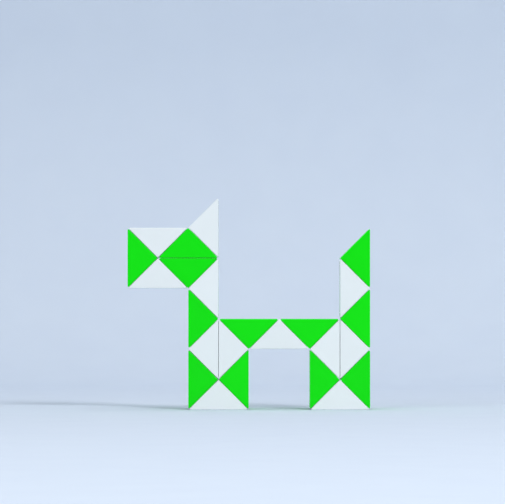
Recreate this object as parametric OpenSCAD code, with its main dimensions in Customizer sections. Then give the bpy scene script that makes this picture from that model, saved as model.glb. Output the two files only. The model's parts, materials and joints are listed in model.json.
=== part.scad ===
// A folding snake puzzle, folded into a standing dog with its head, ear, two feet and tail.
// It is one row of equal wedges. Each wedge is half a cube's worth: two square faces that meet
// at a right angle, two triangular sides and one long face. Every square face inside the row is
// screwed to the next wedge's, with a spring under the screw's head, so that it turns and clicks.
// White and green wedges alternate. A green wedge holds the screw heads and springs, a white one
// the bosses that the screws grip. A cover closes the long face of each.

/* [Wedge] */
// Edge length of the square faces, which is also the depth of the figure
side = 22; // [20:0.5:30]
// Thickness of the moulded walls
wall = 1.3; // [1:0.1:1.8]
// Radius of every outer edge
edge_r = 0.4; // [0.2:0.05:0.8]
// Gap between two square faces that are screwed together
face_gap = 0.2; // [0.15:0.05:0.4]
// Gap between two long faces that are folded against each other
long_gap = 0.2; // [0.1:0.05:0.5]

/* [Cover] */
// Thickness of the cover's plate
cover_t = 1.4; // [1:0.1:1.8]
// Width of the ledge in the shell on which the cover lies
ledge = 0.5; // [0.3:0.1:0.8]
// Gap around the edge of the cover
cover_gap = 0.1; // [0.05:0.05:0.2]
// Length of each of the cover's two tongues
tongue_l = 10; // [6:0.5:14]
// How far the tongues reach into the shell
tongue_h = 2.4; // [1.5:0.1:3]
// Thickness of the tongues
tongue_t = 1.1; // [0.8:0.1:1.5]

/* [Pivot] */
// Diameter of the screw, which is the axle of the joint
screw_d = 2.5; // [2:0.1:3]
// Radial clearance of the screw in the green wall
screw_gap = 0.08; // [0.02:0.01:0.1]
// Diameter of the screw's head
head_d = 4.4; // [4:0.1:5]
// Height of the screw's head
head_h = 1.4; // [1.2:0.1:1.8]
// Width of the cross slot in the head
slot_w = 0.7; // [0.5:0.1:0.9]
// Depth of the cross slot in the head
slot_h = 0.8; // [0.6:0.1:1]
// Length of the cross slot's arms
slot_l = 3; // [2.4:0.1:3.4]
// Diameter of the washer under the head
washer_d = 5; // [4.6:0.1:5.4]
// Thickness of the washer
washer_t = 0.4; // [0.3:0.1:0.6]
// Radial clearance of the washer's hole around the screw
washer_gap = 0.2; // [0.1:0.05:0.3]
// Gap left where head, washer and spring press on each other, so that they stay separate pieces
seat_gap = 0.02; // [0.01:0.01:0.05]
// Outer diameter of the spring
spring_d = 4.2; // [4:0.1:4.6]
// Thickness of the spring's wire
spring_wire = 0.5; // [0.3:0.1:0.6]
// Outer diameter of the boss that the screw grips
boss_d = 5.6; // [5:0.1:6]
// Free length of bore past the screw's tip
tip_room = 0.6; // [0.4:0.1:1]
// Clear space kept over the inside of the cover
inner_room = 0.2; // [0.1:0.05:0.4]

/* [Clicks] */
// Distance of the four click bumps from the joint's axis
bump_ring_r = 7; // [5.5:0.1:7.2]
// Diameter of a click bump
bump_d = 1.8; // [1.4:0.1:2.4]
// Depth of the dimples that the bumps drop into
dimple_h = 0.35; // [0.2:0.05:0.5]
// Extra radius of a dimple around its bump
dimple_gap = 0.2; // [0.1:0.05:0.4]
// Outer diameter of the raised ring that the joint rubs on
ring_d = 18.8; // [18:0.1:19]
// Width of the raised ring
ring_w = 1.2; // [0.8:0.1:1.2]
// Clearance of bumps and ring under the face across from them
rub_gap = 0.05; // [0.03:0.01:0.1]

/* [Hidden] */
// How the row is folded from the ear to the tail: 1 keeps the same corner, 0 runs straight on.
folds = [1, 0, 1, 1, 0, 1, 0, 0, 0, 1, 1, 0, 1, 0, 0, 1, 0, 1, 1, 0, 0, 0, 0];
count = len(folds) + 1;
// The ear wedge: middle of its long face, way to its right-angled edge, way out along its long face.
ear = [[0, 0], [-1, 0], [0, -1]];

$fn = 48;
arc_steps = 3;
far = 2 * side;
// How far a cut runs on past the face that it opens, and past another cut that it joins.
overcut = 1;
join = 0.01;
// Radius of the screw head's rounded upper edge.
head_round = head_h / 2;
white = [0.88, 0.92, 0.95];
green = [0.01, 0.88, 0.01];
steel = [0.72, 0.73, 0.75];
// Half of the long side before the gaps are taken off, which is the figure's grid unit.
unit = side / sqrt(2);
face_in = face_gap / 2;
long_in = long_gap / 2;
ledge_z = long_in + cover_t;
cavity_half_y = side / 2 - wall;
// Half length of the cavity where the cover's ledge is.
cavity_half_x = reach(face_in + wall) - ledge_z;
pocket_half_x = cavity_half_x + ledge;
pocket_half_y = cavity_half_y + ledge;
bump_h = face_gap - rub_gap;
// Depth that a pivot part of radius r may take inside a wedge before it meets the cover.
head_end = depth_for(head_d / 2);
boss_end = depth_for(boss_d / 2);
washer_z = head_end - head_h - seat_gap - washer_t;
spring_z = face_in + wall + seat_gap;
spring_l = washer_z - seat_gap - spring_z;

function depth_for(r) = side / 2 - sqrt(2) * (ledge_z + inner_room) - r;
// How far along the long side a line reaches that lies this deep under a square face.
function reach(depth) = sqrt(2) * (side / 2 - depth);

// The chain: each entry is [middle of the long face, way to the right-angled edge, way out].
function next(w, fold) =
    let (middle = w[0] + w[1] + w[2])
    fold == 1 ? [middle, -w[2], w[1]] : [middle, -w[1], w[2]];
function wedge(k) = k == 1 ? ear : next(wedge(k - 1), folds[k - 2]);
row = [for (k = [1:count]) wedge(k)];
corners = [for (w = row) each [w[0] + w[1], w[0] + w[2], w[0] - w[2]]];
xs = [for (c = corners) c[0]];
zs = [for (c = corners) c[1]];
middle_x = (min(xs) + max(xs)) / 2;
floor_z = min(zs);

function is_white(k) = k % 2 == 1;
function turn(k) = atan2(row[k - 1][1][0], row[k - 1][1][1]);
function side_out(k) = row[k - 1][2][0] * cos(turn(k)) - row[k - 1][2][1] * sin(turn(k));
// The square faces of a wedge that are screwed to a neighbour: -1 left, 1 right of its right angle.
function joined(k) = concat(k > 1 ? [-side_out(k)] : [], k < count ? [side_out(k)] : []);
function label(part, k) = str(part, k < 10 ? "_0" : "_", k);

function arc(centre, r, from, to) = [for (i = [0:arc_steps])
    let (a = from + (to - from) * i / arc_steps) centre + r * [cos(a), sin(a)]];
// Outline of a wedge's triangle with rounded corners, long side down.
function outline(face_depth, long_depth, r) =
    let (top = reach(face_depth + r), low = long_depth + r, tip = top - low)
    concat(arc([tip, low], r, -90, 45), arc([0, top], r, 45, 135), arc([-tip, low], r, 135, 270));

// Moves a wedge from its own place, long face down around the origin, to its place in the figure.
module place(k) {
    at = row[k - 1][0];
    translate([(at[0] - middle_x) * unit, 0, (at[1] - floor_z) * unit - long_in])
        rotate([0, turn(k), 0]) children();
}

// Moves things onto a square face, with +Z out of the wedge and zero halfway into the gap.
module on_face(s) {
    rotate([0, 45 * s, 0]) translate([0, 0, side / 2]) children();
}

module along_y(length) {
    rotate([90, 0, 0]) linear_extrude(length, center = true) children();
}

// A long bar whose two upper edges are rounded, with its top this far under zero.
module rounded_bar(top) {
    high = side / 2 - edge_r;
    low = -top - edge_r;
    rotate([90, 0, 90]) linear_extrude(far, center = true)
        polygon(concat([[high + edge_r, -far], [high + edge_r, low]],
            arc([high, low], edge_r, 0, 90), arc([-high, low], edge_r, 90, 180),
            [[-high - edge_r, -far]]));
}

module solid_wedge() {
    intersection() {
        along_y(side) polygon(outline(face_in, long_in, edge_r));
        on_face(1) rounded_bar(face_in);
        on_face(-1) rounded_bar(face_in);
        rotate([180, 0, 0]) rounded_bar(long_in);
    }
}

module cavity() {
    top = reach(face_in + wall);
    along_y(2 * cavity_half_y)
        polygon([[-cavity_half_x, ledge_z], [cavity_half_x, ledge_z], [0, top]]);
    translate([-pocket_half_x, -pocket_half_y, -far])
        cube([2 * pocket_half_x, 2 * pocket_half_y, far + ledge_z]);
    translate([-cavity_half_x, -cavity_half_y, 0])
        cube([2 * cavity_half_x, 2 * cavity_half_y, ledge_z + join]);
}

module four_around(r) {
    for (a = [45:90:315]) rotate(a) translate([r, 0, 0]) children();
}

// The inside of a white square face: the boss that the screw bites into.
module boss() {
    translate([0, 0, -boss_end]) cylinder(d = boss_d, h = boss_end - face_in - wall / 2);
}

module screw_bore() {
    translate([0, 0, -boss_end - overcut]) cylinder(d = screw_d, h = boss_end + 2 * overcut);
}

module dimples() {
    r = bump_d / 2 + dimple_gap;
    four_around(bump_ring_r) translate([0, 0, -face_in - dimple_h])
        cylinder(r1 = r / 2, r2 = r, h = dimple_h);
}

// The outside of a green square face: a ring to rub on and four bumps to click.
module ring_and_bumps() {
    root = -face_in - wall / 2;
    ring_h = face_in - rub_gap - root;
    translate([0, 0, root]) difference() {
        cylinder(d = ring_d, h = ring_h);
        translate([0, 0, -overcut]) cylinder(d = ring_d - 2 * ring_w, h = ring_h + 2 * overcut);
    }
    four_around(bump_ring_r) translate([0, 0, -face_in])
        cylinder(d1 = bump_d, d2 = bump_d / 2, h = bump_h);
}

module axle_hole() {
    translate([0, 0, -face_in - wall - overcut])
        cylinder(r = screw_d / 2 + screw_gap, h = wall + face_gap + 2 * overcut);
}

module white_shell(faces) {
    difference() {
        union() {
            difference() {
                solid_wedge();
                cavity();
            }
            for (s = faces) on_face(s) boss();
        }
        for (s = faces) on_face(s) {
            screw_bore();
            dimples();
        }
    }
}

module green_shell(faces) {
    difference() {
        union() {
            difference() {
                solid_wedge();
                cavity();
            }
            for (s = faces) on_face(s) ring_and_bumps();
        }
        for (s = faces) on_face(s) axle_hole();
    }
}

module shell(k) {
    if (is_white(k))
        color(white) place(k) white_shell(joined(k));
    else
        color(green) place(k) green_shell(joined(k));
}

// The plate over the long face, with two tongues that grip the triangular walls from inside.
module cover(k) {
    half_x = pocket_half_x - cover_gap;
    half_y = pocket_half_y - cover_gap;
    color(is_white(k) ? white : green) place(k) {
        translate([-half_x, -half_y, long_in]) cube([2 * half_x, 2 * half_y, cover_t]);
        for (s = [-1, 1])
            translate([-tongue_l / 2, s * (cavity_half_y - tongue_t / 2) - tongue_t / 2, long_in])
                cube([tongue_l, tongue_t, cover_t + tongue_h]);
    }
}

// One screw: shank from the white boss through the green wall, then its head.
module screw() {
    r = screw_d / 2;
    under = head_end - head_h;
    tip = boss_end - tip_room;
    difference() {
        rotate_extrude() polygon(concat(
            [[0, -tip], [r / 2, -tip], [r, r / 2 - tip], [r, under], [head_d / 2, under]],
            arc([head_d / 2 - head_round, head_end - head_round], head_round, 0, 90),
            [[0, head_end]]));
        for (a = [0, 90]) rotate(a) translate([-slot_l / 2, -slot_w / 2, head_end - slot_h])
            cube([slot_l, slot_w, slot_h + overcut]);
    }
}

module washer() {
    translate([0, 0, washer_z]) difference() {
        cylinder(d = washer_d, h = washer_t);
        translate([0, 0, -overcut])
            cylinder(r = screw_d / 2 + washer_gap, h = washer_t + 2 * overcut);
    }
}

// The spring, as the sleeve of room that its few coils fill.
module spring() {
    translate([0, 0, spring_z]) difference() {
        cylinder(d = spring_d, h = spring_l);
        translate([0, 0, -overcut])
            cylinder(d = spring_d - 2 * spring_wire, h = spring_l + 2 * overcut);
    }
}

module pivots(k) {
    color(steel) place(k) for (s = joined(k)) on_face(s) {
        screw();
        washer();
        spring();
    }
}

for (k = [1:count]) {
    shell(k);
    cover(k);
    if (is_white(k)) {
        pivots(k);
    }
}
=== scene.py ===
"""A green and white snake puzzle, folded into a standing dog, dressed for its picture."""
import json
import math

import bmesh
import bpy
from bmesh.types import BMEdge, BMFace, BMVert
from mathutils import Matrix, Vector

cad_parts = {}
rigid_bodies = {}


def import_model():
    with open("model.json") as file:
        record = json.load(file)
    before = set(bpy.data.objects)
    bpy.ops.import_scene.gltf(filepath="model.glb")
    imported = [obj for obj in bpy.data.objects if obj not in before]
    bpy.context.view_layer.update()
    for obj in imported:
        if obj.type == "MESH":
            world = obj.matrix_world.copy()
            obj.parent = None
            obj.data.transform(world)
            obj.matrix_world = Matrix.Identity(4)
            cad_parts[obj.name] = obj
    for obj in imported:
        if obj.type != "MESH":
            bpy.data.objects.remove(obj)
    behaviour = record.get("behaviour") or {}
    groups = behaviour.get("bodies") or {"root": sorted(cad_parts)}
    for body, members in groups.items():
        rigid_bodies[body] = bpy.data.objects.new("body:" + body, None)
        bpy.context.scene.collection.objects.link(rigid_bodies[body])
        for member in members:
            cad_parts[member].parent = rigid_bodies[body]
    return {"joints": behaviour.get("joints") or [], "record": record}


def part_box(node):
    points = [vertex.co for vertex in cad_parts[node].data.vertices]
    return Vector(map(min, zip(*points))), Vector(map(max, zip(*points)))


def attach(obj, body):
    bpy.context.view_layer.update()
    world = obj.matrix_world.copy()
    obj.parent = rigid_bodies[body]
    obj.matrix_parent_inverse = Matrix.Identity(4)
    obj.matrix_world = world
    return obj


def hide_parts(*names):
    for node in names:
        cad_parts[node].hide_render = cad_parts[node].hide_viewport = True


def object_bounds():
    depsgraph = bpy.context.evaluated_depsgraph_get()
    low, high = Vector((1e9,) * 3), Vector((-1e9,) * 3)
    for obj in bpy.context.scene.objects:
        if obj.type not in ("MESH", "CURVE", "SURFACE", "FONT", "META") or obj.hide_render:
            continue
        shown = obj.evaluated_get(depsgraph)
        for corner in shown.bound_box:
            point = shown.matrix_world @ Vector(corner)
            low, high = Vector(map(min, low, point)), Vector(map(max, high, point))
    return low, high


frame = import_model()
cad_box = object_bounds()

MM = 0.001
ROOT2 = math.sqrt(2)
UPRIGHT = Matrix.Rotation(math.pi / 2, 4, "X")
SLOTS = {part["node"]: part["material_slot"] for part in frame["record"]["subparts"]}

# Sizes of a wedge. Its side comes from the frame. The others, here and below, repeat the
# part's source or refine what it leaves plain, such as rims, thread and coils.
lowest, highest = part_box("shell_02")
SIDE = highest.y - lowest.y
WALL = 1.3 * MM
EDGE_R = 0.4 * MM
RIM_R = 0.3 * MM
FACE_IN = 0.1 * MM
LONG_IN = 0.1 * MM
LEDGE = 0.5 * MM
COVER_T = 1.4 * MM
COVER_GAP = 0.1 * MM
COVER_ROUND = 0.18 * MM
TONGUE_L = 10 * MM
TONGUE_H = 2.4 * MM
TONGUE_T = 1.1 * MM
TONGUE_GAP = 0.05 * MM

# Sizes of the pivot's seats in the square faces
SCREW_R = 1.25 * MM
AXLE_R = SCREW_R + 0.08 * MM
BOSS_R = 2.8 * MM
INNER_ROOM = 0.2 * MM
RING_R = 9.4 * MM
RING_W = 1.2 * MM
RUB_GAP = 0.05 * MM
BUMP_AT = 7 * MM
BUMP_R = 0.9 * MM
BUMP_TAPER = 0.5
DIMPLE_GAP = 0.2 * MM
DIMPLE_H = 0.35 * MM

# Sizes of the screw, its washer and its spring
HEAD_R = 2.2 * MM
HEAD_H = 1.4 * MM
HEAD_ROUND = HEAD_H / 2
SLOT_W = 0.7 * MM
SLOT_H = 0.8 * MM
SLOT_REACH = 1.38 * MM
SLOT_TAPER = 0.7
TIP_ROOM = 0.6 * MM
THREAD_PITCH = 1 * MM
THREAD_H = 0.3 * MM
THREAD_END = -0.6 * MM
THREAD_FADE = 0.3 * MM
WASHER_R = 2.5 * MM
WASHER_T = 0.4 * MM
WASHER_HOLE_R = SCREW_R + 0.2 * MM
WASHER_ROUND = 0.06 * MM
SPRING_R = 2.1 * MM
WIRE_R = 0.25 * MM
CLOSED_RISE = 2.1 * WIRE_R
OPEN_COILS = 2
SEAT_GAP = 0.02 * MM

# How finely the rounds are drawn
ARC_STEPS = 6
RIM_STEPS = 5
HOLE_STEPS = 32
RING_STEPS = 72
BUMP_STEPS = 20
SCREW_STEPS = 24
TIP_STEPS = 6
THREAD_STEPS = 12
WASHER_STEPS = 40
WIRE_STEPS = 10
COIL_STEPS = 24
COVE_STEPS = 24

# Two points or planes this near count as one, and two ways do past this cosine
SAME_POINT = 0.0001 * MM
SAME_PLANE = 0.01 * MM
SAME_WAY = 0.999

# Past this angle an edge is sharp, and below these a face is part of a round
SHARP = math.radians(35)
ROUND_AREA = 12 * MM * MM
ROUND_EDGE = 0.4 * MM

# The wedges come from so many batches of plastic, shuffled along the row by this stride
BATCHES, BATCH_STRIDE = 5, 7


def reach(depth):
    """How far along the long side a line reaches that lies this deep under a square face."""
    return ROOT2 * (SIDE / 2 - depth)


LEDGE_Z = LONG_IN + COVER_T
CAVITY_X = reach(FACE_IN + WALL) - LEDGE_Z
CAVITY_Y = SIDE / 2 - WALL
POCKET_X = CAVITY_X + LEDGE
POCKET_Y = CAVITY_Y + LEDGE
BUMP_H = 2 * FACE_IN - RUB_GAP

# Depths along a pivot, from halfway in the gap inwards
INNER_END = SIDE / 2 - ROOT2 * (LEDGE_Z + INNER_ROOM)
BOSS_END = INNER_END - BOSS_R
HEAD_END = INNER_END - HEAD_R
HEAD_UNDER = HEAD_END - HEAD_H
WASHER_Z = HEAD_UNDER - SEAT_GAP - WASHER_T
SPRING_Z = FACE_IN + WALL + SEAT_GAP
SPRING_L = WASHER_Z - SEAT_GAP - SPRING_Z


def wedge_place(number):
    """Turns and moves a wedge from its own place, long face down at the origin, to the figure."""
    shell_low, shell_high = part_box(f"shell_{number:02d}")
    cover_low, cover_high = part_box(f"cover_{number:02d}")
    middle = (cover_low + cover_high) / 2
    up = (shell_low + shell_high) / 2 - middle
    if abs(up.x) > abs(up.z):
        up = Vector((math.copysign(1, up.x), 0, 0))
    else:
        up = Vector((0, 0, math.copysign(1, up.z)))
    depth = min(cover_low.dot(up), cover_high.dot(up)) - LONG_IN
    origin = middle - up * middle.dot(up) + up * depth
    return Matrix.Translation(origin) @ Matrix.Rotation(math.atan2(up.x, up.z), 4, "Y")


def joined_sides(number):
    """The square faces of a wedge that turn on a neighbour: -1 left, 1 right of its right angle."""
    body = f"wedge_{number:02d}"
    back = wedge_place(number).inverted()
    return [1 if (back @ Vector(joint["pos_m"])).x > 0 else -1 for joint in frame["joints"]
            if body in (joint["parent"], joint["child"])]


def face_place(side):
    """Onto a square face, with +Z out of the wedge and zero halfway into the gap."""
    return Matrix.Rotation(side * math.pi / 4, 4, "Y") @ Matrix.Translation((0, 0, SIDE / 2))


def rectangle(width, height):
    """Makes a rectangle of this size of a round that has radius 1 and four steps."""
    size = Matrix.Diagonal((width / ROOT2, height / ROOT2, 1, 1))
    return size @ Matrix.Rotation(math.pi / 4, 4, "Z")


def only(kind, drawn):
    """The vertices, edges or faces among what an operator has drawn."""
    return [part for part in drawn if isinstance(part, kind)]


def find_face(bm, normal, at):
    """The largest flat face that looks this way and lies on this point's plane."""
    near = [f for f in bm.faces if f.normal.dot(normal) > SAME_WAY
            and abs((f.calc_center_median() - at).dot(normal)) < SAME_PLANE]
    return max(near, key=lambda f: f.calc_area())


def push(bm, face, way):
    """Extrudes one face along a way and returns it at its new place."""
    drawn = bmesh.ops.extrude_face_region(bm, geom=[face])["geom"]
    bmesh.ops.translate(bm, vec=way, verts=only(BMVert, drawn))
    if face.is_valid:
        bmesh.ops.delete(bm, geom=[face], context="FACES_ONLY")
    return only(BMFace, drawn)[0]


def draw_round(bm, place, radius, steps, filled=False):
    """Draws a round at this place and returns its vertices and its ring of edges."""
    verts = bmesh.ops.create_circle(bm, cap_ends=filled, radius=radius, segments=steps,
                                    matrix=place)["verts"]
    return verts, list({e for v in verts for e in v.link_edges})


def open_face(bm, face, hubs):
    """Replaces a flat face by one with openings, and returns their rings.

    Each hub is the (place, radius, steps) of a round.
    """
    rim = list(face.edges)
    normal = face.normal.copy()
    bmesh.ops.delete(bm, geom=[face], context="FACES_ONLY")
    rings = [draw_round(bm, *hub)[1] for hub in hubs]
    bmesh.ops.triangle_fill(bm, use_beauty=True, use_dissolve=False, normal=normal,
                            edges=rim + [e for ring in rings for e in ring])
    return rings


def extrude_ring(bm, ring):
    """Extrudes a ring of edges where it is. Returns the new ring, its vertices and its middle."""
    drawn = bmesh.ops.extrude_edge_only(bm, edges=ring)["geom"]
    verts = only(BMVert, drawn)
    return only(BMEdge, drawn), verts, sum((v.co for v in verts), Vector()) / len(verts)


def draw_ring(bm, ring, way, shrink=1.0):
    """Extrudes a ring of edges along a way, drawing it in or out, and returns the new ring."""
    ring, verts, middle = extrude_ring(bm, ring)
    bmesh.ops.translate(bm, vec=way, verts=verts)
    bmesh.ops.scale(bm, vec=(shrink,) * 3, space=Matrix.Translation(-middle - Vector(way)),
                    verts=verts)
    return ring


def shape_ring(bm, ring, radius, height):
    """Extrudes a ring of edges to a centred one of this radius at this height."""
    ring, verts, middle = extrude_ring(bm, ring)
    size = radius / (verts[0].co - middle).length
    bmesh.ops.translate(bm, vec=Vector((0, 0, height)) - middle, verts=verts)
    bmesh.ops.scale(bm, vec=(size, size, 1), verts=verts)
    return ring


def cap(bm, ring):
    """Closes a ring of edges with one face."""
    return bmesh.ops.contextual_create(bm, geom=ring)["faces"][0]


def solid_wedge(bm):
    """The outside of a wedge: three arcs and the lines between them, drawn through its depth."""
    top = reach(FACE_IN + EDGE_R)
    low = LONG_IN + EDGE_R
    tip = top - low
    for x, z, start, sweep in ((tip, low, -90, 135), (0, top, 45, 90), (-tip, low, 135, 135)):
        centre = Vector((x, -SIDE / 2, z))
        a = math.radians(start)
        first = bm.verts.new(centre + EDGE_R * Vector((math.cos(a), 0, math.sin(a))))
        bmesh.ops.spin(bm, geom=[first], cent=centre, axis=(0, -1, 0),
                       angle=math.radians(sweep), steps=ARC_STEPS, use_duplicate=False)
    outline = bm.faces.new(list(bm.verts))
    drawn = bmesh.ops.extrude_face_region(bm, geom=[outline])["geom"]
    bmesh.ops.translate(bm, vec=(0, SIDE, 0), verts=only(BMVert, drawn))
    bmesh.ops.recalc_face_normals(bm, faces=bm.faces[:])
    rims = [e for e in bm.edges if abs(e.verts[0].co.y - e.verts[1].co.y) < SAME_POINT]
    bmesh.ops.bevel(bm, geom=rims, offset=RIM_R, offset_type="OFFSET", segments=RIM_STEPS,
                    profile=0.5, affect="EDGES", clamp_overlap=False, material=-1)


def sink_pocket(bm):
    """Opens the long face: a pocket for the cover, a ledge under it and the hollow behind."""
    mouth = find_face(bm, Vector((0, 0, -1)), Vector((0, 0, LONG_IN)))
    bmesh.ops.inset_region(bm, faces=[mouth], thickness=LEDGE, use_even_offset=True)
    for v in mouth.verts:
        v.co.x = math.copysign(POCKET_X, v.co.x)
        v.co.y = math.copysign(POCKET_Y, v.co.y)
    floor = push(bm, mouth, (0, 0, COVER_T))
    bmesh.ops.inset_region(bm, faces=[floor], thickness=LEDGE, use_even_offset=True)
    roof = push(bm, floor, (0, 0, reach(FACE_IN + WALL) - LEDGE_Z))
    for v in roof.verts:
        v.co.x = 0
    bmesh.ops.remove_doubles(bm, verts=bm.verts[:], dist=SAME_POINT)
    bmesh.ops.recalc_face_normals(bm, faces=bm.faces[:])


def seat_face(bm, side, white):
    """Cuts one joined square face: its screw hole, and its dimples or its ring and bumps."""
    place = face_place(side)
    out = (place.to_3x3() @ Vector((0, 0, 1))).normalized()
    surface = place @ Matrix.Translation((0, 0, -FACE_IN))
    wall = place @ Matrix.Translation((0, 0, -FACE_IN - WALL))
    outside = find_face(bm, out, surface.translation)
    inside = find_face(bm, -out, wall.translation)
    spots = [surface @ Matrix.Rotation(math.radians(45 + 90 * i), 4, "Z")
             @ Matrix.Translation((BUMP_AT, 0, 0)) for i in range(4)]
    spot_r = BUMP_R + DIMPLE_GAP if white else BUMP_R
    hole_r = SCREW_R if white else AXLE_R
    if not white:
        rub = open_face(bm, outside, [(surface, RING_R, RING_STEPS)])[0]
        rub = draw_ring(bm, rub, out * BUMP_H)
        rub = draw_ring(bm, rub, (0, 0, 0), 1 - RING_W / RING_R)
        outside = cap(bm, draw_ring(bm, rub, -out * BUMP_H))
    hubs = [(surface, hole_r, HOLE_STEPS)] + [(spot, spot_r, BUMP_STEPS) for spot in spots]
    hole, *spot_rings = open_face(bm, outside, hubs)
    for ring in spot_rings:
        cap(bm, draw_ring(bm, ring, out * (-DIMPLE_H if white else BUMP_H), BUMP_TAPER))
    inner = open_face(bm, inside, [(wall, BOSS_R if white else hole_r, HOLE_STEPS)])[0]
    if white:
        inner = draw_ring(bm, inner, -out * (BOSS_END - FACE_IN - WALL))
        inner = draw_ring(bm, inner, (0, 0, 0), hole_r / BOSS_R)
    bmesh.ops.bridge_loops(bm, edges=hole + inner)


def shell_mesh(bm, sides, white):
    """The hollow wedge, with a seat for a pivot in each joined square face."""
    solid_wedge(bm)
    sink_pocket(bm)
    for side in sides:
        seat_face(bm, side, white)


def cover_mesh(bm):
    """The plate in the long face, with its two tongues."""
    size = Matrix.Diagonal((2 * (POCKET_X - COVER_GAP), 2 * (POCKET_Y - COVER_GAP), COVER_T, 1))
    middle = LONG_IN + COVER_T / 2
    bmesh.ops.create_cube(bm, size=1, matrix=Matrix.Translation((0, 0, middle)) @ size)
    outer = [e for e in bm.edges if all(v.co.z < middle for v in e.verts)]
    uprights = [e for e in bm.edges if abs(e.verts[0].co.z - e.verts[1].co.z) > COVER_T / 2]
    bmesh.ops.bevel(bm, geom=outer + uprights, offset=COVER_ROUND, offset_type="OFFSET",
                    segments=3, profile=0.5, affect="EDGES", clamp_overlap=True, material=-1)
    bmesh.ops.recalc_face_normals(bm, faces=bm.faces[:])
    inside = find_face(bm, Vector((0, 0, 1)), Vector((0, 0, LEDGE_Z)))
    tongue_y = CAVITY_Y - TONGUE_GAP - TONGUE_T / 2
    hubs = [(Matrix.Translation((0, y, LEDGE_Z)) @ rectangle(TONGUE_L, TONGUE_T), 1, 4)
            for y in (-tongue_y, tongue_y)]
    for ring in open_face(bm, inside, hubs):
        cap(bm, draw_ring(bm, ring, (0, 0, TONGUE_H)))


def cross_slot(bm, rim):
    """Sinks a cross into the head's flat top, inside this rim."""
    grid = bmesh.ops.create_grid(bm, x_segments=3, y_segments=3, size=SLOT_REACH,
                                 matrix=Matrix.Translation((0, 0, HEAD_END)))["verts"]
    for v in grid:
        for axis in (0, 1):
            if abs(v.co[axis]) < SLOT_REACH / 2:
                v.co[axis] = math.copysign(SLOT_W / 2, v.co[axis])
    cells = list({f for v in grid for f in v.link_faces})
    corners = [f for f in cells if min(abs(c) for c in f.calc_center_median()[:2]) > SLOT_W / 2]
    arms = [f for f in cells if f not in corners]
    bmesh.ops.delete(bm, geom=corners, context="FACES")
    cross = bmesh.ops.dissolve_faces(bm, faces=arms)["region"][0]
    mouth = list(cross.edges)
    floor = push(bm, cross, (0, 0, -SLOT_H))
    bmesh.ops.scale(bm, vec=(SLOT_TAPER, SLOT_TAPER, 1), verts=floor.verts)
    bmesh.ops.triangle_fill(bm, use_beauty=True, use_dissolve=False, normal=(0, 0, 1),
                            edges=rim + mouth)


def screw_mesh(bm):
    """A pan head screw along Z: its thread is an off-centre round that turns as it rises."""
    tip = TIP_ROOM - BOSS_END
    turns = (THREAD_END - tip) / THREAD_PITCH
    steps = round(turns * THREAD_STEPS)
    circle, ring = draw_round(bm, Matrix.Translation((THREAD_H / 2, 0, tip)),
                              SCREW_R - THREAD_H / 2, SCREW_STEPS, filled=True)
    # The tip starts half as wide and reaches its full width in TIP_STEPS
    bmesh.ops.scale(bm, vec=(0.5, 0.5, 1), verts=circle)
    turn = Matrix.Rotation(math.tau * turns / steps, 4, "Z")
    rise = Matrix.Translation((0, 0, (THREAD_END - tip) / steps))
    for step in range(steps):
        ring, verts, _ = extrude_ring(bm, ring)
        bmesh.ops.transform(bm, matrix=rise @ turn, verts=verts)
        if step < TIP_STEPS:
            grow = (TIP_STEPS + step + 1) / (TIP_STEPS + step)
            bmesh.ops.scale(bm, vec=(grow, grow, 1), verts=verts)
    for radius, height in ((SCREW_R, THREAD_END + THREAD_FADE), (SCREW_R, HEAD_UNDER),
                           (HEAD_R, HEAD_UNDER)):
        ring = shape_ring(bm, ring, radius, height)
    for step in range(ARC_STEPS + 1):
        a = math.pi / 2 * step / ARC_STEPS
        ring = shape_ring(bm, ring, HEAD_R - HEAD_ROUND * (1 - math.cos(a)),
                          HEAD_END - HEAD_ROUND * (1 - math.sin(a)))
    cross_slot(bm, ring)


def washer_mesh(bm):
    """A flat ring with rounded rims, spun from its section."""
    at = Matrix.Translation(((WASHER_R + WASHER_HOLE_R) / 2, 0, WASHER_Z + WASHER_T / 2))
    section, _ = draw_round(bm, at @ UPRIGHT @ rectangle(WASHER_R - WASHER_HOLE_R, WASHER_T),
                            1, 4)
    bmesh.ops.bevel(bm, geom=section, offset=WASHER_ROUND, offset_type="OFFSET", segments=2,
                    profile=0.5, affect="VERTICES", clamp_overlap=True, material=-1)
    bmesh.ops.spin(bm, geom=bm.verts[:] + bm.edges[:], cent=(0, 0, 0), axis=(0, 0, 1),
                   angle=math.tau, steps=WASHER_STEPS, use_merge=True, use_duplicate=False)


def spring_mesh(bm):
    """A spring between two closed end coils, wound from a round of wire."""
    at = Matrix.Translation((SPRING_R - WIRE_R, 0, SPRING_Z + WIRE_R))
    verts, ring = draw_round(bm, at @ UPRIGHT, WIRE_R, WIRE_STEPS, filled=True)
    wire = ring + verts
    pitch = (SPRING_L - 2 * WIRE_R - 2 * CLOSED_RISE) / OPEN_COILS
    for coils, rise in ((1, CLOSED_RISE), (OPEN_COILS, pitch), (1, CLOSED_RISE)):
        wire = bmesh.ops.spin(bm, geom=wire, cent=(0, 0, 0), axis=(0, 0, 1),
                              dvec=(0, 0, rise / COIL_STEPS), angle=math.tau * coils,
                              steps=coils * COIL_STEPS, use_duplicate=False)["geom_last"]
    cap(bm, only(BMEdge, wire))


def add_on_face(bm, side, draw):
    """Draws a piece of a pivot and adds it on one square face."""
    one = bmesh.new()
    draw(one)
    bmesh.ops.transform(one, matrix=face_place(side), verts=one.verts[:])
    part = bpy.data.meshes.new("pivot_part")
    one.to_mesh(part)
    one.free()
    bm.from_mesh(part)
    bpy.data.meshes.remove(part)


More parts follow.
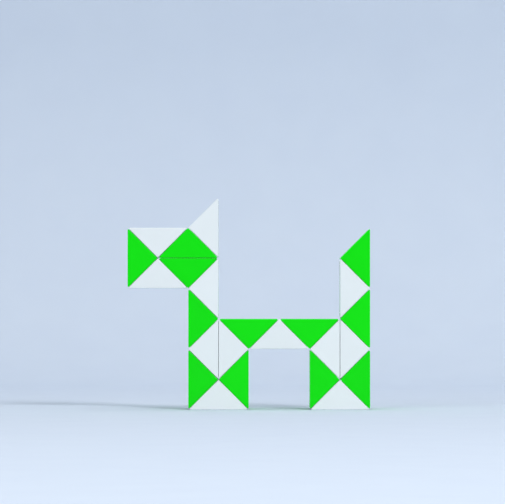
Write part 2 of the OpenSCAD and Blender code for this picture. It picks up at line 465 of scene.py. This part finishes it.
def finish_piece(bm, name, number, node, materials):
    """Turns a wedge's mesh into an object at its place, with what its material reads."""
    bmesh.ops.transform(bm, matrix=wedge_place(number), verts=bm.verts[:])
    bmesh.ops.recalc_face_normals(bm, faces=bm.faces[:])
    for edge in bm.edges:
        if len(edge.link_faces) == 2 and edge.calc_face_angle() > SHARP:
            edge.smooth = False
    rounded = bm.faces.layers.float.new("rounded")
    batch = bm.faces.layers.float.new("batch")
    for face in bm.faces:
        face.smooth = True
        narrow = min(e.calc_length() for e in face.edges) < ROUND_EDGE
        face[rounded] = float(narrow and face.calc_area() < ROUND_AREA)
        face[batch] = number * BATCH_STRIDE % BATCHES / BATCHES
    mesh = bpy.data.meshes.new(name)
    bm.to_mesh(mesh)
    bm.free()
    mesh.materials.append(materials[SLOTS[node]])
    piece = bpy.data.objects.new(name, mesh)
    bpy.context.scene.collection.objects.link(piece)
    even = piece.modifiers.new("even_shading", "WEIGHTED_NORMAL")
    even.keep_sharp = True
    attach(piece, f"wedge_{number:02d}")
    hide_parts(node)


def make_wedges(materials):
    """Each wedge's shell and cover, and the pivots that ride with a white one."""
    count = sum(node.startswith("shell_") for node in SLOTS)
    for number in range(1, count + 1):
        shell, cover, pivots = (f"{kind}_{number:02d}" for kind in ("shell", "cover", "pivots"))
        sides = joined_sides(number)
        bm = bmesh.new()
        shell_mesh(bm, sides, SLOTS[shell] == "white")
        finish_piece(bm, f"wedge_{shell}", number, shell, materials)
        bm = bmesh.new()
        cover_mesh(bm)
        finish_piece(bm, f"wedge_{cover}", number, cover, materials)
        if pivots not in SLOTS:
            continue
        for kind, draw in (("screws", screw_mesh), ("washers", washer_mesh),
                           ("springs", spring_mesh)):
            bm = bmesh.new()
            for side in sides:
                add_on_face(bm, side, draw)
            finish_piece(bm, f"pivot_{kind}_{number:02d}", number, pivots, materials)


def feed(tree, node, inputs):
    """Gives each of a node's inputs its value: another node's output, or a constant."""
    for name, value in inputs.items():
        if isinstance(value, bpy.types.NodeSocket):
            tree.links.new(value, node.inputs[name])
        else:
            node.inputs[name].default_value = value


def add_node(tree, kind, inputs=None, **settings):
    """Adds a node with these settings and inputs, and returns its outputs."""
    node = tree.nodes.new("ShaderNode" + kind)
    for name, value in settings.items():
        setattr(node, name, value)
    feed(tree, node, inputs or {})
    return node.outputs


def calculate(tree, operation, *values):
    """One step of arithmetic with other nodes' outputs or constants."""
    return add_node(tree, "Math", dict(enumerate(values)), operation=operation)["Value"]


def noise(tree, where, scale, detail=2):
    """Soft values that wander over the piece."""
    return add_node(tree, "TexNoise", {"Vector": where, "Scale": scale, "Detail": detail})["Fac"]


def between(tree, value, dark, pale):
    """A colour between two shades, by a value."""
    ramp = tree.nodes.new("ShaderNodeValToRGB")
    ramp.color_ramp.elements[0].color = (*dark, 1)
    ramp.color_ramp.elements[1].color = (*pale, 1)
    feed(tree, ramp, {"Fac": value})
    return ramp.outputs["Color"]


def shader(name):
    """A new material, its node tree and its Principled shader."""
    material = bpy.data.materials.new(name)
    material.use_nodes = True
    return material, material.node_tree, material.node_tree.nodes["Principled BSDF"]


# How fine the patterns are, in features a metre
CLOUD_SCALE, RUB_SCALE, GRAIN_SCALE = 90, 260, 1400
BLOOM_SCALE, PAPER_SCALE = 900, 35

# What handling adds to the plastic's roughness, and the trace of pale colour that rounded edges
# take, partly wear and partly a painted highlight
RUB_DULLS, EDGE_DULLS = 0.10, 0.12
EDGE_WEAR_AND_HIGHLIGHT_AMOUNT = 0.012
EDGE_WEAR_AND_HIGHLIGHT_COLOUR = (0.9, 0.95, 0.92, 1)


def moulded_skin():
    """Shared look of moulded plastic: faint clouding, batch shade, grain, and handled edges whose
    pale trace is partly wear and partly a painted highlight.
    """
    group = bpy.data.node_groups.new("moulded_skin", "ShaderNodeTree")
    for in_out, name, kind in (("INPUT", "Colour", "Color"), ("INPUT", "Cloud", "Float"),
                               ("INPUT", "Gloss", "Float"), ("OUTPUT", "Colour", "Color"),
                               ("OUTPUT", "Roughness", "Float"), ("OUTPUT", "Height", "Float")):
        group.interface.new_socket(name=name, in_out=in_out, socket_type="NodeSocket" + kind)
    given = group.nodes.new("NodeGroupInput").outputs
    where = add_node(group, "TexCoord")["Object"]
    rounded = add_node(group, "Attribute", attribute_name="rounded")["Fac"]
    batch = add_node(group, "Attribute", attribute_name="batch")["Fac"]

    cloud = calculate(group, "ADD", noise(group, where, CLOUD_SCALE, detail=3), batch)
    shade = calculate(group, "MULTIPLY_ADD", cloud, given["Cloud"], 1)
    tint = add_node(group, "HueSaturation", {"Color": given["Colour"], "Value": shade})["Color"]
    # Rounded rims take a trace of pale colour: partly wear, partly a painted highlight
    edge_wear_and_highlight = calculate(group, "MULTIPLY", rounded, EDGE_WEAR_AND_HIGHLIGHT_AMOUNT)
    worn_and_highlit = add_node(group, "Mix", {"Factor": edge_wear_and_highlight, "A": tint, "B": EDGE_WEAR_AND_HIGHLIGHT_COLOUR}, data_type="RGBA")

    rub = noise(group, where, RUB_SCALE, detail=6)
    rubbed = calculate(group, "MULTIPLY_ADD", rub, RUB_DULLS, given["Gloss"])
    feed(group, group.nodes.new("NodeGroupOutput"), {
        "Colour": worn_and_highlit["Result"],
        "Roughness": calculate(group, "MULTIPLY_ADD", rounded, EDGE_DULLS, rubbed),
        "Height": noise(group, where, GRAIN_SCALE),
    })
    return group


def plastic(name, colour, cloud, gloss, skin):
    """Moulded plastic of one colour. Its gloss is the roughness of an unrubbed face."""
    material, tree, principled = shader(name)
    look = add_node(tree, "Group", {"Colour": (*colour, 1), "Cloud": cloud, "Gloss": gloss},
                    node_tree=skin)
    bump = add_node(tree, "Bump", {"Height": look["Height"], "Distance": 0.02 * MM,
                                   "Strength": 0.08})
    feed(tree, principled, {
        "Base Color": look["Colour"],
        "Roughness": look["Roughness"],
        "Normal": bump["Normal"],
        "IOR": 1.5,
        "Specular IOR Level": 0.2,
    })
    return material


def steel(name):
    """Bright plated steel with a faint bloom."""
    material, tree, principled = shader(name)
    bloom = noise(tree, add_node(tree, "TexCoord")["Object"], BLOOM_SCALE)
    feed(tree, principled, {
        "Base Color": between(tree, bloom, (0.52, 0.53, 0.56), (0.72, 0.73, 0.74)),
        "Roughness": calculate(tree, "MULTIPLY_ADD", bloom, 0.2, 0.2),
        "Metallic": 1,
    })
    return material


# The table in metres: half its width, its front edge and its back, the round between it and
# the backdrop, the backdrop's height, and from where to where it fades into the room
TABLE_HALF, TABLE_FRONT, TABLE_BACK = 2.0, -1.3, 0.7
COVE_R, BACKDROP_H = 0.25, 1.6
FADE_FROM, FADE_TO = 0.9, 1.5
ROOM_COLOUR = (0.60, 0.68, 0.79)


def table_mesh(bm):
    """A line that runs back, curves up and rises, drawn through the table's width."""
    front = bm.verts.new((-TABLE_HALF, TABLE_FRONT, 0))
    back = bm.verts.new((-TABLE_HALF, TABLE_BACK - COVE_R, 0))
    bm.edges.new((front, back))
    spun = bmesh.ops.spin(bm, geom=[back], cent=(-TABLE_HALF, TABLE_BACK - COVE_R, COVE_R),
                          axis=(1, 0, 0), angle=math.pi / 2, steps=COVE_STEPS,
                          use_duplicate=False)
    top = bm.verts.new((-TABLE_HALF, TABLE_BACK, BACKDROP_H))
    bm.edges.new((only(BMVert, spun["geom_last"])[0], top))
    drawn = bmesh.ops.extrude_edge_only(bm, edges=bm.edges[:])["geom"]
    bmesh.ops.translate(bm, vec=(2 * TABLE_HALF, 0, 0), verts=only(BMVert, drawn))
    bmesh.ops.recalc_face_normals(bm, faces=bm.faces[:])
    if min(bm.faces, key=lambda f: f.calc_center_median().z).normal.z < 0:
        bmesh.ops.reverse_faces(bm, faces=bm.faces[:])
    for face in bm.faces:
        face.smooth = True


def table_paper():
    """Pale matt paper. Far away it fades out, and its back lets view and light through."""
    material, tree, principled = shader("table_paper")
    where = add_node(tree, "TexCoord")["Object"]
    fibre = noise(tree, where, PAPER_SCALE)
    feed(tree, principled, {
        "Base Color": between(tree, fibre, (0.57, 0.65, 0.77), ROOM_COLOUR),
        "Roughness": 0.9,
        "Specular IOR Level": 0.1,
    })
    away = add_node(tree, "VectorMath", {0: where}, operation="LENGTH")["Value"]
    fade = add_node(tree, "MapRange", {"Value": away, "From Min": FADE_FROM, "From Max": FADE_TO},
                    interpolation_type="SMOOTHSTEP")["Result"]
    gone = calculate(tree, "MAXIMUM", add_node(tree, "NewGeometry")["Backfacing"], fade)
    clear = add_node(tree, "BsdfTransparent")["BSDF"]
    pick = add_node(tree, "MixShader", {0: gone, 1: principled.outputs["BSDF"], 2: clear})
    feed(tree, tree.nodes["Material Output"], {"Surface": pick["Shader"]})
    return material


def make_table():
    """A pale table top that curves up into a backdrop."""
    bm = bmesh.new()
    table_mesh(bm)
    mesh = bpy.data.meshes.new("table")
    bm.to_mesh(mesh)
    bm.free()
    mesh.materials.append(table_paper())
    table = bpy.data.objects.new("table", mesh)
    bpy.context.scene.collection.objects.link(table)


LAMPS_AIM = Vector((0, 0, 0.05))


def soft_box(name, at, size, watts):
    """A wide lamp that looks at the figure's middle."""
    lamp = bpy.data.lights.new(name, "AREA")
    lamp.shape = "RECTANGLE"
    lamp.size, lamp.size_y = size
    lamp.energy = watts
    holder = bpy.data.objects.new(name, lamp)
    holder.location = at
    holder.rotation_euler = (LAMPS_AIM - Vector(at)).to_track_quat("-Z", "Y").to_euler()
    bpy.context.scene.collection.objects.link(holder)


def make_light():
    """A dim room, seen and mirrored in the table's colour, and four soft lamps."""
    scene = bpy.context.scene
    scene.view_settings.view_transform = "Standard"
    world = bpy.data.worlds.new("room")
    scene.world = world
    world.use_nodes = True
    tree = world.node_tree
    room = tree.nodes["Background"]
    feed(tree, room, {"Color": (0.95, 0.97, 1, 1), "Strength": 0.12})
    seen = add_node(tree, "Background", {"Color": (*ROOM_COLOUR, 1)})["Background"]
    ray = add_node(tree, "LightPath")
    mirrored = calculate(tree, "MAXIMUM", ray["Is Glossy Ray"], ray["Is Transmission Ray"])
    in_view = calculate(tree, "MAXIMUM", ray["Is Camera Ray"], mirrored)
    pick = add_node(tree, "MixShader", {0: in_view, 1: room.outputs["Background"], 2: seen})
    feed(tree, tree.nodes["World Output"], {"Surface": pick["Shader"]})
    soft_box("key_box", (1.15, -1.7, 1.4), (0.6, 0.6), 31)
    soft_box("fill_box", (-1.5, -2.0, 1.0), (1.3, 1.3), 19)
    soft_box("top_box", (0.2, 0.05, 2.2), (2.4, 2.0), 30)
    soft_box("back_box", (-0.5, 2.2, 1.5), (1.5, 1.2), 42)


# The photograph's size, where the figure's middle and floor line lie in it and how long half
# a wedge's long side is, all in pixels, and the camera's distance and drop under its aim
PHOTO_W, PHOTO_H = 505, 504
MIDDLE_PX, FLOOR_PX = 248.85, 409.65
UNIT_PX = 30.37
CAMERA_AWAY = 1.8
CAMERA_DROP = 25 * MM


def make_camera():
    """A long lens from far away, because the photograph shows hardly any depth."""
    low, high = cad_box
    per_px = SIDE / ROOT2 / UNIT_PX
    centre = Vector(((low.x + high.x) / 2 + (PHOTO_W / 2 - MIDDLE_PX) * per_px, low.y,
                     (FLOOR_PX - PHOTO_H / 2) * per_px))
    tilt = math.atan(CAMERA_DROP / CAMERA_AWAY)
    camera = bpy.data.cameras.new("camera")
    camera.sensor_fit = "HORIZONTAL"
    camera.sensor_width = 36
    camera.lens = camera.sensor_width * CAMERA_AWAY / (PHOTO_W * per_px)
    camera.clip_end = 30
    holder = bpy.data.objects.new("camera", camera)
    holder.location = centre - CAMERA_AWAY * Vector((0, math.cos(tilt), math.sin(tilt)))
    holder.rotation_euler = (math.pi / 2 + tilt, 0, 0)
    bpy.context.scene.collection.objects.link(holder)
    bpy.context.scene.camera = holder


make_camera()
skin = moulded_skin()
make_wedges({
    "green": plastic("green_plastic", (0.0009, 0.715, 0.0006), 0.06, 0.14, skin),
    "white": plastic("white_plastic", (0.77, 0.819, 0.829), 0.03, 0.16, skin),
    "steel": steel("zinc_plated_steel"),
})
make_table()
make_light()
